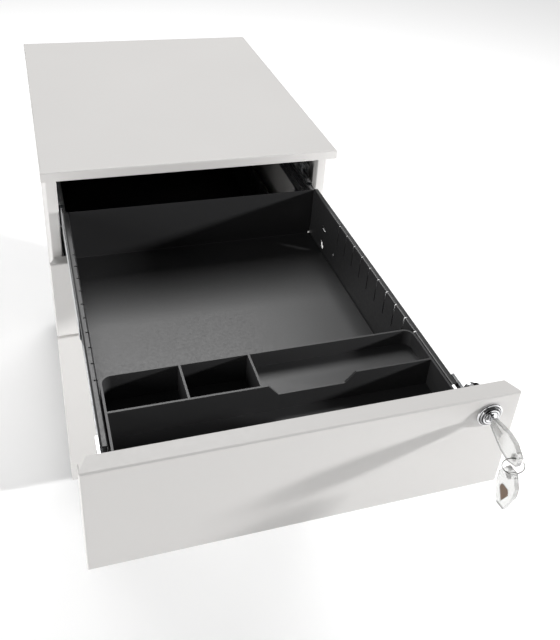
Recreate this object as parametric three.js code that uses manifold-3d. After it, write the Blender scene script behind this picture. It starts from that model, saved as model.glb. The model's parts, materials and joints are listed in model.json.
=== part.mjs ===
// Mobile pedestal filing cabinet in folded sheet steel: two box drawers over a file drawer,
// full-extension ball slides, a cam lock with its keys, a lift-out pen tray and four castors.
// Millimetres, +X right, +Y to the back, +Z up. The top drawer stands open.
import * as THREE from 'three';
import { mergeVertices } from 'three/addons/utils/BufferGeometryUtils.js';
import Module from 'manifold-3d';

const wasm = await Module();
wasm.setup();

// Cabinet sizes
const cabinetWidth = 400;
const cabinetDepth = 500;
const bodyHeight = 560; // lower edge of the lowest front to the top
const sheet = 1; // all folded panels
const bendRadius = 2; // outside of a fold
const topLip = 13; // height of the turned-down edge of the top
const topOverhang = 5; // of the top past each side panel
const uprightWidth = 14.5; // folded front edge of a side panel
const returnLip = 13; // depth of the second fold behind it
const backFlange = 15;
const baseLip = 20;
const railHeight = 10.5;
const railDepth = 22;

// Fronts and drawers
const frontDepth = 19; // depth of a drawer front pan
const frontInset = 1; // front narrower than the top on each side
const frontGap = 4; // between two fronts
const topFrontHeight = 118;
const middleFrontHeight = 123;
const frontMitre = 8; // length lost at the pan corners
const boxClearance = 20; // from the back of a closed box to the back of the cabinet
const wallInset = 30; // box wall from the side edge of the top
const flangeWidth = 7; // rim flange folded out over the slide
const flangeDrop = 5.5; // turned-down edge of that flange
const flangeStart = 66; // front end of the flange, behind the face
const notchDrop = 3; // step in the wall ahead of the flange
const rimBelowFront = 42.6; // rim of a box below the top of its front
const floorAboveFront = 4; // box floor above the lower edge of its front
const fileFloorAboveFront = 30;
const fileRimBelowFront = 33;
const bottomFlange = 12.5;

// Divider slots in the walls of the box drawers, and holes near the back
const slotFirst = 152.3; // behind the face
const slotPitch = 25;
const slotEndRoom = 35; // least room from the last slot to the wall holes
const slotWidth = 1.8;
const slotDepth = 32;
const slotHook = 2.6; // how far a slot runs into the flange
const holeFromBack = 53; // line of the two larger wall holes, ahead of the box's back
const smallHoleFromBack = 93;
const cornerRelief = 2.5;

// Slides, three members each
const slideHeight = 35;
const slideSheet = 1;
const slideThickness = 10;
const ballGap = 2.5;
const slideBelowRim = 25.4; // slide centre below the rim
const slideStart = 36; // front end of the cabinet member
const slideShorter = 50; // cabinet and drawer members, less than the cabinet's depth
const middleMemberStart = 24;
const middleMemberShorter = 60;
const drawerMemberStart = 20.5;
const catchLength = 60; // release catch on the drawer member
const catchWidth = 2.8;
const catchHeight = 6.6;

// Slide posts and lock bar
const postWidth = 24;
const frontPostY = 84;
const rearPostInset = 60; // front face of a rear post from the back of the cabinet
const lockBarWidth = 20;
const lockBarThickness = 1.6;
const lockBarY = 60;
const lockBarRise = 5; // its upper end above the top drawer's rim
const lockBarLift = 30; // its lower end above the lower edge of the lowest front
const lockTab = 10;
const lockTabRise = 1.8; // underside of a tab above the drawer's rim
const guideHeight = 8;

// Pen tray
const trayFront = 42; // behind the drawer face
const trayBack = 157;
const trayHeight = 36;
const trayWall = 2.4;
const trayFloor = 3;
const trayDividerY = 104.6;
const trayShallow = 18; // depth of the right-hand rear compartment
const trayCornerRadius = 12;
const trayShares = [0.238, 0.449]; // partitions, as shares of the box width from the left
const dipDepth = 13;
const dipShares = [0.5, 0.709];
const dipSlope = 12;
const traySideGap = 1.1;
const traySupport = 6;

// Lock and keys
const lockInset = 30.5; // lock axis from the edge of the front
const lockBelowTop = 20; // lock axis below the top of the front
const escutcheonRadius = 13;
const barrelRadius = 9.5;
const barrelLength = 32;
const boreRadius = 6.6;
const plugRadius = 6.3;
const camLength = 20;
const camWidth = 12;
const camThickness = 3;
const camBossRadius = 3;
const keyThickness = 2;
const keyBladeWidth = 6.4;
const keyGap = 0.3;
const keyDroop = 6; // degrees that the key sags in the lock
const keyInserted = 12; // blade inside the face
const bladeReach = 9; // root of the bow to the face
const bladeRoot = 16; // blade held inside the bow
const bowLength = 46;
const bowWidth = 24;
const bowThickness = 5;
const bowRoot = 10; // width of the bow at its root
const bowEnd = 11; // width of the bow at its outer end
const bowHoleRadius = 3.6;
const bowHoleInset = 6; // hole centre from the outer end of the bow
const insertDepth = 2.4; // recess for the metal insert of the spare key
const ringRadius = 9.75;
const ringWire = 0.75; // radius of the ring's wire
const ringSit = 1.2; // the ring's wire from the middle of a bow's hole
const ringTurn = -30; // degrees from the key's hole to the ring's plane
const spareTurn = 5; // degrees from the key's hole to the spare key's

// Castors
const wheelRadius = 22.5;
const wheelWidth = 16;
const castorTrail = 18;
const castorInsetX = 40;
const castorInsetY = 50;
const hoodClearance = 1.2;
const castorRoom = 3; // from the top of a wheel to the lower edge of the lowest front
const hoodThickness = 1.4;
const hoodWeb = 5;
const axleRadius = 3;
const stemRadius = 5;
const collarRadius = 9;

const gap = 0.3; // between pieces that touch
const guideWall = 1.8;
const guideClear = 0.4;
const slideBend = 1.6;
const cabinetLipOver = 2; // a cabinet member's edges past the drawer member's web
const middleInset = 2.6;
const middleLipOver = 1.4;
const drawerLipReach = 5.7;
const catchClear = 0.4;
const catchBelowRim = 0.6;
const catchPlate = 1.6;
const boxBehindFront = 0.4;
const flangeCutClear = 0.8;
const ovalRadius = 3.2; // slide fixing holes in the box walls
const ovalReach = 3.5;
const ovalBelowRim = 34;
const keyholeRadius = 3.6;
const keyholeNeck = 1.7;
const keyholeReach = 5.4;
const keyholeAboveFloor = 8;
const smallHoleRadius = 1.6;
const trayProud = 0.6; // pen tray above the drawer's rim
const ledgeSink = 0.4;
const ledgeLength = 16;
const ledgeThickness = 1.2;
const foldClear = 1.2; // of a square edge set into the inside of a fold
const deep = 2000; // longer than any cut

// Levels and planes worked out from the sizes
const halfWidth = cabinetWidth / 2;
const groundClearance = 2 * wheelRadius + castorRoom; // floor to the lower edge of the lowest front
const top = groundClearance + bodyHeight;
const sideOuter = halfWidth - topOverhang;
const sideInner = sideOuter - sheet;
const panelBottom = groundClearance + 2;
const panelTop = top - sheet - gap;
const uprightInner = sideOuter - uprightWidth;
const uprightFront = frontDepth + 2.5;
const backFace = cabinetDepth - 3;
const backPanelY = backFace - 2 * sheet - gap;
const baseTop = panelBottom + baseLip;
const halfFront = halfWidth - frontInset;
const topFrontTop = top - topLip - 3;
const topFrontBottom = topFrontTop - topFrontHeight;
const middleFrontTop = topFrontBottom - frontGap;
const middleFrontBottom = middleFrontTop - middleFrontHeight;
const bottomFrontTop = middleFrontBottom - frontGap;
const boxWallX = halfWidth - wallInset; // middle of the side wall sheet
const wallOuter = boxWallX + sheet / 2;
const slideInner = wallOuter + gap;
const slideOuter = slideInner + slideThickness;
const postFace = slideOuter + 0.5;
const boxLength = cabinetDepth - boxClearance; // face of the front to the back of the box
const slideLength = cabinetDepth - slideShorter;
const middleMemberLength = cabinetDepth - middleMemberShorter;
const rearPostY = cabinetDepth - rearPostInset;
const slotCount = Math.floor((boxLength - holeFromBack - slotFirst - slotEndRoom) / slotPitch) + 1;
const holeBack = boxLength - holeFromBack;
const smallHoleBack = boxLength - smallHoleFromBack;
const lockX = halfFront - lockInset;
const lockZ = topFrontTop - lockBelowTop;
const drawerOpen = -boxLength;
const droop = THREE.MathUtils.degToRad(keyDroop);
const keyPivot = keyInserted / 3; // behind the face, where the sagging key tips
const lockBarFace = postFace + 1.3;
const lockBarBottom = groundClearance + lockBarLift;
const lockBarTop = topFrontTop - rimBelowFront + lockBarRise;
const lockBarLength = lockBarTop - lockBarBottom;

const drawers = [
  {
    name: 'top',
    frontTop: topFrontTop,
    frontBottom: topFrontBottom,
    rim: topFrontTop - rimBelowFront,
    floor: topFrontBottom + floorAboveFront,
    open: drawerOpen,
    slots: slotCount,
  },
  {
    name: 'middle',
    frontTop: middleFrontTop,
    frontBottom: middleFrontBottom,
    rim: middleFrontTop - rimBelowFront,
    floor: middleFrontBottom + floorAboveFront,
    open: 0,
    slots: slotCount,
  },
  {
    name: 'bottom',
    frontTop: bottomFrontTop,
    frontBottom: groundClearance,
    rim: bottomFrontTop - fileRimBelowFront,
    floor: groundClearance + fileFloorAboveFront,
    open: 0,
    slots: 0,
  },
];

const white = { color: 0xe6e5e3, roughness: 0.45, metalness: 0 };
const black = { color: 0x1b1c1e, roughness: 0.42, metalness: 0 };
const zinc = { color: 0xb4b7ba, roughness: 0.32, metalness: 1 };
const chrome = { color: 0xd4d4d6, roughness: 0.12, metalness: 1 };
const bronze = { color: 0x6e5a48, roughness: 0.35, metalness: 1 };
const trayPlastic = { color: 0x202122, roughness: 0.5, metalness: 0 };
const clearPlastic = { color: 0xe2e4e4, roughness: 0.1, metalness: 0 };
const darkPlastic = { color: 0x2a2b2d, roughness: 0.5, metalness: 0 };

const cabinet = new THREE.Group();

// Solids

function signedVolume(geometry) {
  const at = geometry.attributes.position;
  const index = geometry.index.array;
  const a = new THREE.Vector3();
  const b = new THREE.Vector3();
  const c = new THREE.Vector3();
  let sum = 0;
  for (let i = 0; i < index.length; i += 3) {
    a.fromBufferAttribute(at, index[i]);
    b.fromBufferAttribute(at, index[i + 1]);
    c.fromBufferAttribute(at, index[i + 2]);
    sum += a.dot(b.cross(c)) / 6;
  }
  return sum;
}

// A closed three.js geometry as a solid that can be joined and cut.
function solid(geometry) {
  const bare = geometry.index ? geometry.toNonIndexed() : geometry.clone();
  bare.deleteAttribute('normal');
  bare.deleteAttribute('uv');
  const merged = mergeVertices(bare, 1e-4);
  const vertProperties = Float32Array.from(merged.attributes.position.array);
  const triVerts = Uint32Array.from(merged.index.array);
  if (signedVolume(merged) < 0) {
    triVerts.reverse();
  }
  return new wasm.Manifold(new wasm.Mesh({ numProp: 3, vertProperties, triVerts }));
}

function geometryOf(shape) {
  const mesh = shape.getMesh();
  const geometry = new THREE.BufferGeometry();
  geometry.setAttribute('position', new THREE.BufferAttribute(Float32Array.from(mesh.vertProperties), 3));
  geometry.setIndex(new THREE.BufferAttribute(Uint32Array.from(mesh.triVerts), 1));
  const flat = geometry.toNonIndexed();
  flat.computeVertexNormals();
  return flat;
}

function box(x0, x1, y0, y1, z0, z1) {
  const geometry = new THREE.BoxGeometry(x1 - x0, y1 - y0, z1 - z0);
  geometry.translate((x0 + x1) / 2, (y0 + y1) / 2, (z0 + z1) / 2);
  return solid(geometry);
}

const alongX = new THREE.Matrix4().makeBasis(
  new THREE.Vector3(0, 1, 0),
  new THREE.Vector3(0, 0, 1),
  new THREE.Vector3(1, 0, 0),
);
const alongY = new THREE.Matrix4().makeBasis(
  new THREE.Vector3(1, 0, 0),
  new THREE.Vector3(0, 0, 1),
  new THREE.Vector3(0, -1, 0),
);

// Extrudes an outline along one axis from low to high: (y, z) points along X,
// (x, z) points along Y and (x, y) points along Z.
function prism(outline, axis, low, high) {
  const shape = outline instanceof THREE.Shape ? outline : new THREE.Shape(outline);
  const geometry = new THREE.ExtrudeGeometry(shape, {
    depth: high - low,
    bevelEnabled: false,
    curveSegments: 6,
  });
  if (axis === 'x') {
    geometry.applyMatrix4(alongX);
    geometry.translate(low, 0, 0);
  } else if (axis === 'y') {
    geometry.applyMatrix4(alongY);
    geometry.translate(0, high, 0);
  } else {
    geometry.translate(0, 0, low);
  }
  return solid(geometry);
}

// A rod along one axis through a point, from low to high.
function rod(axis, radius, low, high, x, y, z, sides = 24) {
  const geometry = new THREE.CylinderGeometry(radius, radius, high - low, sides);
  const middle = (low + high) / 2;
  if (axis === 'x') {
    geometry.rotateZ(Math.PI / 2);
    geometry.translate(middle, y, z);
  } else if (axis === 'y') {
    geometry.translate(x, middle, z);
  } else {
    geometry.rotateX(Math.PI / 2);
    geometry.translate(x, y, middle);
  }
  return solid(geometry);
}

function joined(first, ...others) {
  return others.reduce((whole, other) => whole.add(other), first);
}

function cut(first, ...others) {
  return others.reduce((whole, other) => whole.subtract(other), first);
}

// The outline of a folded sheet from the middle line of its section, with round folds.
function folded(line, thickness = sheet, radius = bendRadius) {
  const steps = 3;
  const points = line.map(([u, v]) => new THREE.Vector2(u, v));
  const path = [];
  points.forEach((point, i) => {
    if (i === 0 || i === points.length - 1) {
      const along = i === 0 ? points[1].clone().sub(point) : point.clone().sub(points[i - 1]);
      path.push({ at: point, way: along.normalize() });
      return;
    }
    const before = point.clone().sub(points[i - 1]).normalize();
    const after = points[i + 1].clone().sub(point).normalize();
    const turn = before.angleTo(after) * Math.sign(before.cross(after));
    const middleRadius = radius - thickness / 2;
    const back = middleRadius * Math.tan(Math.abs(turn) / 2);
    const start = point.clone().addScaledVector(before, -back);
    const side = new THREE.Vector2(-before.y, before.x).multiplyScalar(Math.sign(turn));
    const centre = start.clone().addScaledVector(side, middleRadius);
    for (let k = 0; k <= steps; k += 1) {
      const angle = (turn * k) / steps;
      const at = start.clone().rotateAround(centre, angle);
      const way = before.clone().rotateAround(new THREE.Vector2(), angle);
      path.push({ at, way });
    }
  });
  const half = thickness / 2;
  const left = path.map(({ at, way }) => new THREE.Vector2(at.x - way.y * half, at.y + way.x * half));
  const right = path.map(({ at, way }) => new THREE.Vector2(at.x + way.y * half, at.y - way.x * half));
  return [...left, ...right.reverse()];
}

function mirrored(outline) {
  return outline.map((point) => new THREE.Vector2(-point.x, point.y));
}

// A block with its face at local z = 0, rounded where the face meets the sides.
function softBlock(width, height, depth, radius) {
  const halfX = width / 2 - radius;
  const halfY = height / 2 - radius;
  const outline = new THREE.Shape([
    new THREE.Vector2(-halfX, -halfY),
    new THREE.Vector2(halfX, -halfY),
    new THREE.Vector2(halfX, halfY),
    new THREE.Vector2(-halfX, halfY),
  ]);
  const geometry = new THREE.ExtrudeGeometry(outline, {
    depth: depth + radius,
    bevelEnabled: true,
    bevelThickness: radius,
    bevelSize: radius,
    bevelSegments: 3,
  });
  geometry.translate(0, 0, -depth - 2 * radius);
  return solid(geometry).subtract(box(-deep, deep, -deep, deep, -deep, -depth));
}

// A sheet pan: a face at local z = 0 with all four edges turned back by depth.
function pan(width, height, depth) {
  const inside = softBlock(width - 2 * sheet, height - 2 * sheet, depth + 1, bendRadius - sheet);
  return softBlock(width, height, depth, bendRadius).subtract(inside.translate(0, 0, -sheet));
}

// Turns a pan so that its face looks to the front, and moves its middle to (x, z) at the face.
function facingFront(shape, x, face, z) {
  return shape.rotate(90, 0, 0).translate(x, face, z);
}

function add(name, shape, look, parent = cabinet) {
  const material = new THREE.MeshStandardMaterial(look);
  material.name = name;
  const mesh = new THREE.Mesh(geometryOf(shape), material);
  mesh.name = name;
  parent.add(mesh);
  return mesh;
}

// Carcass

function sidePanel(side) {
  const upright = uprightInner + sheet / 2;
  const wall = sideOuter - sheet / 2;
  const frontY = uprightFront + sheet / 2;
  const backY = backFace - sheet / 2;
  const outline = folded([
    [upright, uprightFront + returnLip],
    [upright, frontY],
    [wall, frontY],
    [wall, backY],
    [sideOuter - backFlange, backY],
  ]);
  return prism(side > 0 ? outline : mirrored(outline), 'z', panelBottom, panelTop);
}

function topPanel() {
  return pan(cabinetWidth, cabinetDepth, topLip).translate(0, cabinetDepth / 2, top);
}

function backPanel() {
  const half = sideInner - foldClear;
  return box(-half, half, backPanelY, backPanelY + sheet, panelBottom, panelTop);
}

function basePanel() {
  const front = uprightFront + sheet;
  const depth = backPanelY - gap - front;
  const width = 2 * (sideInner - gap);
  const body = pan(width, depth, baseLip).translate(0, front + depth / 2, baseTop);
  const cornerBack = uprightFront + returnLip + gap;
  const cornerX = uprightInner - gap;
  return cut(
    body,
    box(cornerX, deep, -deep, cornerBack, 0, deep),
    box(-deep, -cornerX, -deep, cornerBack, 0, deep),
    ...castorPlaces.map(({ x, y }) => rod('z', stemRadius + gap, 0, deep, x, y, 0)),
  );
}

function frontTopRail() {
  const topZ = panelTop - sheet / 2;
  const frontY = uprightFront + sheet;
  const outline = folded([
    [frontY + railDepth, topZ],
    [frontY, topZ],
    [frontY, topZ - railHeight + sheet],
    [frontY + railDepth, topZ - railHeight + sheet],
  ]);
  return prism(outline, 'x', -uprightInner + gap, uprightInner - gap);
}

function slidePost(side, y) {
  const face = postFace + sheet / 2;
  const wall = sideInner - gap;
  const outline = folded([
    [wall, y],
    [face, y],
    [face, y + postWidth],
    [wall, y + postWidth],
  ]);
  return prism(side > 0 ? outline : mirrored(outline), 'z', baseTop + gap, panelTop - 6);
}

// The front right post also carries two guides that hold the lock bar.
function guidedPost() {
  const guides = [0.22, 0.7].map((share) => {
    const z = lockBarBottom + share * lockBarLength;
    const block = box(
      postFace,
      lockBarFace + lockBarThickness + guideWall,
      lockBarY - 2,
      frontPostY + sheet / 4,
      z,
      z + guideHeight,
    );
    const channel = box(
      lockBarFace - guideClear,
      lockBarFace + lockBarThickness + guideClear,
      lockBarY - guideClear,
      lockBarY + lockBarWidth + guideClear,
      0,
      deep,
    );
    return block.subtract(channel);
  });
  return joined(slidePost(1, frontPostY), ...guides);
}

function lockBar() {
  const x = lockBarFace;
  const bar = box(x, x + lockBarThickness, lockBarY, lockBarY + lockBarWidth, lockBarBottom, lockBarTop);
  const tabs = drawers.map(({ rim }, i) => {
    const reach = i === 0 ? lockTab : 3;
    const z = rim + lockTabRise;
    return box(x - reach, x + 0.5, lockBarY + 2, lockBarY + lockBarWidth - 2, z, z + lockBarThickness);
  });
  const windows = [0.12, 0.4, 0.62].map((share) => {
    const z = lockBarBottom + share * lockBarLength;
    return box(x - 1, x + 3, lockBarY + 6, lockBarY + lockBarWidth - 6, z, z + 26);
  });
  return cut(joined(bar, ...tabs), ...windows);
}

// Slides

// A channel section for one slide member, its web at webX and its edges turned towards lipX.
function channel(side, webX, lipX, halfHeight, centre, y0, y1) {
  const web = webX + Math.sign(lipX - webX) * (slideSheet / 2);
  const outline = folded(
    [
      [lipX, centre + halfHeight - slideSheet / 2],
      [web, centre + halfHeight - slideSheet / 2],
      [web, centre - halfHeight + slideSheet / 2],
      [lipX, centre - halfHeight + slideSheet / 2],
    ],
    slideSheet,
    slideBend,
  );
  return prism(side > 0 ? outline : mirrored(outline), 'y', y0, y1);
}

function addSlide(drawer, side) {
  const word = side > 0 ? 'right' : 'left';
  const centre = drawer.rim - slideBelowRim;
  const outerHalf = slideHeight / 2;
  const middleHalf = outerHalf - slideSheet - ballGap;
  const innerHalf = middleHalf - slideSheet - ballGap;
  const outerLip = slideInner + cabinetLipOver;
  const slideEnd = slideStart + slideLength;
  const outer = channel(side, slideOuter, outerLip, outerHalf, centre, slideStart, slideEnd);
  add(`${drawer.name}_slide_cabinet_member_${word}`, outer, zinc);
  const middleY = middleMemberStart + drawer.open / 2;
  const middle = channel(
    side,
    slideOuter - middleInset,
    slideInner + middleLipOver,
    middleHalf,
    centre,
    middleY,
    middleY + middleMemberLength,
  );
  add(`${drawer.name}_slide_middle_member_${word}`, middle, zinc);
  const innerY = drawerMemberStart + drawer.open;
  const innerLip = slideInner + drawerLipReach;
  const inner = channel(side, slideInner, innerLip, innerHalf, centre, innerY, innerY + slideLength);
  const catchOuter = uprightInner - catchClear;
  const catchTop = drawer.rim - catchBelowRim;
  const near = side > 0 ? catchOuter - catchWidth : -catchOuter;
  const rail = box(near, near + catchWidth, innerY, innerY + catchLength, catchTop - catchHeight, catchTop);
  const plateNear = side > 0 ? slideInner : -catchOuter;
  const plate = box(
    plateNear,
    plateNear + catchOuter - slideInner,
    innerY,
    innerY + catchPlate,
    centre - innerHalf,
    catchTop,
  );
  add(`${drawer.name}_slide_drawer_member_${word}`, joined(inner, rail, plate), zinc);
}

// Drawer boxes

function frontPan(drawer) {
  const height = drawer.frontTop - drawer.frontBottom;
  const face = drawer.open;
  const middle = (drawer.frontTop + drawer.frontBottom) / 2;
  const body = facingFront(pan(2 * halfFront, height, frontDepth), 0, face, middle);
  const start = face + bendRadius + 1;
  const corners = [-1, 1].flatMap((side) => {
    const edge = side * (halfFront + 0.1);
    const wedge = [
      new THREE.Vector2(edge, start),
      new THREE.Vector2(edge - side * frontMitre, face + frontDepth + 1),
      new THREE.Vector2(edge, face + frontDepth + 1),
    ];
    const upper = prism(wedge, 'z', drawer.frontTop - frontMitre, drawer.frontTop + 1);
    const lower = prism(wedge, 'z', drawer.frontBottom - 1, drawer.frontBottom + frontMitre);
    return [upper, lower];
  });
  return cut(body, ...corners);
}

function boxSheet(drawer) {
  const face = drawer.open;
  const frontY = face + frontDepth + boxBehindFront + sheet / 2;
  const backY = face + boxLength - 1 - sheet / 2;
  const floorZ = drawer.floor - sheet / 2;
  const outline = folded([
    [frontY, drawer.rim],
    [frontY, floorZ],
    [backY, floorZ],
    [backY, drawer.rim],
  ]);
  const halfX = boxWallX - sheet / 2 - 2 * gap;
  const body = prism(outline, 'x', -halfX, halfX);
  const reliefTop = drawer.floor + 3;
  const reliefs = [-1, 1].map((side) => rod('z', cornerRelief, 0, reliefTop, side * halfX, backY, 0, 12));
  return cut(body, ...reliefs);
}

function boxSide(drawer, side) {
  const face = drawer.open;
  const { rim, floor } = drawer;
  const flangeX = boxWallX + flangeWidth - sheet / 2;
  const outline = folded([
    [boxWallX - bottomFlange, floor - sheet - gap - sheet / 2],
    [boxWallX, floor - sheet - gap - sheet / 2],
    [boxWallX, rim - sheet / 2],
    [flangeX, rim - sheet / 2],
    [flangeX, rim - flangeDrop],
  ]);
  const start = face + frontDepth + boxBehindFront;
  const body = prism(side > 0 ? outline : mirrored(outline), 'y', start, face + boxLength);
  const near = (x0, x1) => (side > 0 ? [x0, x1] : [-x1, -x0]);
  const flangeCut = box(
    ...near(wallOuter - flangeCutClear, boxWallX + flangeWidth + 1),
    face,
    face + flangeStart,
    rim - flangeDrop - 1,
    rim + 1,
  );
  const stepCut = box(
    ...near(boxWallX - 1, wallOuter + 1),
    face,
    face + flangeStart - 2,
    rim - notchDrop,
    rim + 1,
  );
  const slots = Array.from({ length: drawer.slots }, (_, i) => {
    const y = face + slotFirst + i * slotPitch - slotWidth / 2;
    const x = near(boxWallX - 1, wallOuter + slotHook);
    return box(...x, y, y + slotWidth, rim - slotDepth, rim + 1);
  });
  const span = near(boxWallX - 1, wallOuter + 1);
  const holeZ = rim - ovalBelowRim;
  const [ovalFront, ovalBack] = [-ovalReach, ovalReach].map((reach) => face + holeBack + reach);
  const oval = joined(
    rod('x', ovalRadius, ...span, 0, ovalFront, holeZ, 14),
    rod('x', ovalRadius, ...span, 0, ovalBack, holeZ, 14),
    box(...span, ovalFront, ovalBack, holeZ - ovalRadius, holeZ + ovalRadius),
  );
  const lowZ = floor + keyholeAboveFloor;
  const neckY = face + holeBack + keyholeReach;
  const keyhole = joined(
    rod('x', keyholeRadius, ...span, 0, face + holeBack, lowZ, 14),
    rod('x', keyholeNeck, ...span, 0, neckY, lowZ + 6, 10),
    box(...span, face + holeBack, neckY, lowZ + 1, lowZ + 6),
  );
  const small = rod('x', smallHoleRadius, ...span, 0, face + smallHoleBack, lowZ + 11, 10);
  return cut(body, flangeCut, stepCut, ...slots, oval, keyhole, small);
}

// The top drawer's walls carry pressed ledges under the pen tray.
function withTrayLedges(body, drawer, side) {
  const z = drawer.rim + trayProud - trayHeight - gap;
  const inner = boxWallX - sheet / 2;
  const x = side > 0 ? [inner - traySupport, inner + ledgeSink] : [-inner - ledgeSink, -inner + traySupport];
  const ledges = [trayFront + 14, trayBack - 30].map((back) => {
    const y = drawer.open + back;
    return box(...x, y, y + ledgeLength, z - ledgeThickness, z);
  });
  return joined(body, ...ledges);
}

// Pen tray

function penTray() {
  const drawer = drawers[0];
  const face = drawer.open;
  const rimZ = drawer.rim + trayProud;
  const baseZ = rimZ - trayHeight;
  const halfX = boxWallX - sheet / 2 - traySideGap;
  const y0 = face + trayFront;
  const y1 = face + trayBack;
  const r = trayCornerRadius;
  const outline = new THREE.Shape();
  outline.moveTo(-halfX, y0);
  outline.lineTo(halfX, y0);
  outline.lineTo(halfX, y1 - r);
  outline.absarc(halfX - r, y1 - r, r, 0, Math.PI / 2, false);
  outline.lineTo(-halfX + r, y1);
  outline.absarc(-halfX + r, y1 - r, r, Math.PI / 2, Math.PI, false);
  outline.lineTo(-halfX, y0);
  const inner = halfX - trayWall;
  const innerR = r - trayWall;
  const dividerY = face + trayDividerY;
  const well = (x0, x1, floorZ, roundLeft, roundRight) => {
    const back = y1 - trayWall;
    const front = dividerY + trayWall;
    const shape = new THREE.Shape();
    shape.moveTo(x0, front);
    shape.lineTo(x1, front);
    if (roundRight) {
      shape.lineTo(x1, back - innerR);
      shape.absarc(x1 - innerR, back - innerR, innerR, 0, Math.PI / 2, false);
    } else {
      shape.lineTo(x1, back);
    }
    if (roundLeft) {
      shape.lineTo(x0 + innerR, back);
      shape.absarc(x0 + innerR, back - innerR, innerR, Math.PI / 2, Math.PI, false);
    } else {
      shape.lineTo(x0, back);
    }
    shape.lineTo(x0, front);
    return prism(shape, 'z', floorZ, rimZ + 1);
  };
  const across = (share) => boxWallX * (2 * share - 1);
  const [first, second] = trayShares.map(across);
  const [dipLeft, dipRight] = dipShares.map(across);
  const half = trayWall / 2;
  const floorZ = baseZ + trayFloor;
  const shallowZ = rimZ - trayShallow;
  const long = box(-inner, inner, y0 + trayWall, dividerY, floorZ, rimZ + 1);
  const under = box(second + half, inner, dividerY + trayWall, y1 - r, baseZ - 1, shallowZ - trayFloor);
  const dip = prism(
    [
      new THREE.Vector2(dipLeft, rimZ - dipDepth),
      new THREE.Vector2(dipRight, rimZ - dipDepth),
      new THREE.Vector2(dipRight + dipSlope, rimZ + 1),
      new THREE.Vector2(dipLeft - dipSlope, rimZ + 1),
    ],
    'y',
    dividerY - 1,
    dividerY + trayWall + 1,
  );
  return cut(
    prism(outline, 'z', baseZ, rimZ),
    long,
    well(-inner, first - half, floorZ, true, false),
    well(first + half, second - half, floorZ, false, false),
    well(second + half, inner, shallowZ, false, true),
    under,
    dip,
  );
}

// Lock and keys

function turned(profile, x, z, y, sides = 32) {
  const points = profile.map(([radius, along]) => new THREE.Vector2(radius, along));
  points.push(points[0].clone());
  const geometry = new THREE.LatheGeometry(points, sides);
  geometry.translate(x, y, z);
  return solid(geometry);
}

function lockHousing(face) {
  return turned(
    [
      [boreRadius, -4.6],
      [9, -4.6],
      [9.8, -3.9],
      [10.4, -2.9],
      [12.2, -2.6],
      [escutcheonRadius, -1.5],
      [escutcheonRadius, -gap],
      [barrelRadius, -gap],
      [barrelRadius, barrelLength],
      [boreRadius, barrelLength],
    ],
    lockX,
    lockZ,
    face,
  );
}

function lockPlug(face) {
  const rear = barrelLength + 2;
  const body = rod('y', plugRadius, face - 5, face + rear, lockX, 0, lockZ);
  const bossEnd = face + rear + camThickness + 1.2;
  const boss = rod('y', camBossRadius, face + rear - 1, bossEnd, lockX, 0, lockZ, 16);
  const half = keyThickness / 2 + keyGap;
  const sag = (keyInserted - keyPivot) * Math.sin(droop);
  const tall = keyBladeWidth / 2 + sag + keyGap;
  const keywayEnd = face + keyInserted + 2;
  const keyway = box(lockX - half, lockX + half, face - 6, keywayEnd, lockZ - tall, lockZ + tall);
  return joined(body, boss).subtract(keyway);
}

function lockCam(face) {
  const y0 = face + barrelLength + 2 + gap;
  const half = camWidth / 2;
  const shape = new THREE.Shape();
  shape.absarc(lockX, lockZ, half, 0, Math.PI, false);
  shape.lineTo(lockX - half, lockZ - camLength + 2);
  shape.lineTo(lockX - half + 2, lockZ - camLength);
  shape.lineTo(lockX + half - 2, lockZ - camLength);
  shape.lineTo(lockX + half, lockZ - camLength + 2);
  shape.lineTo(lockX + half, lockZ);
  const hole = rod('y', camBossRadius + gap, y0 - 1, y0 + camThickness + 1, lockX, 0, lockZ, 16);
  return prism(shape, 'y', y0, y0 + camThickness).subtract(hole);
}

// The outline of a key's bow: a long octagon from its root at (0, 0) outwards along +u.
function bowOutline() {
  const half = bowWidth / 2;
  const root = bowRoot / 2;
  const end = bowEnd / 2;
  const points = [
    [0, -root],
    [0.48 * bowLength, -half],
    [0.74 * bowLength, -half],
    [bowLength, -end],
    [bowLength, end],
    [0.74 * bowLength, half],
    [0.48 * bowLength, half],
    [0, root],
  ];
  return points.map(([u, v]) => new THREE.Vector2(u, v));
}

function bow() {
  const half = bowThickness / 2;
  const hole = rod('x', bowHoleRadius, -half - 1, half + 1, 0, bowLength - bowHoleInset, 0, 20);
  return prism(bowOutline(), 'x', -half, half).subtract(hole);
}

function keyBow() {
  const slotHalf = keyThickness / 2 + keyGap;
  const tall = keyBladeWidth / 2 + keyGap;
  return bow().subtract(box(-slotHalf, slotHalf, -1, bladeRoot + keyGap, -tall, tall));
}

// The arrow-shaped insert of the spare key, grown by a margin for its recess.
function insertOutline(margin) {
  const points = [
    [7 - 2 * margin, 0],
    [20, -6 - margin],
    [25 + margin, -4 - margin],
    [25 + margin, 4 + margin],
    [20, 6 + margin],
  ];
  return points.map(([u, v]) => new THREE.Vector2(u, v));
}

function spareBow() {
  const face = -bowThickness / 2;
  return bow().subtract(prism(insertOutline(keyGap), 'x', face - 1, face + insertDepth));
}

function spareInsert() {
  const face = -bowThickness / 2;
  return prism(insertOutline(0), 'x', face + 0.2, face + insertDepth - keyGap);
}

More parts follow.
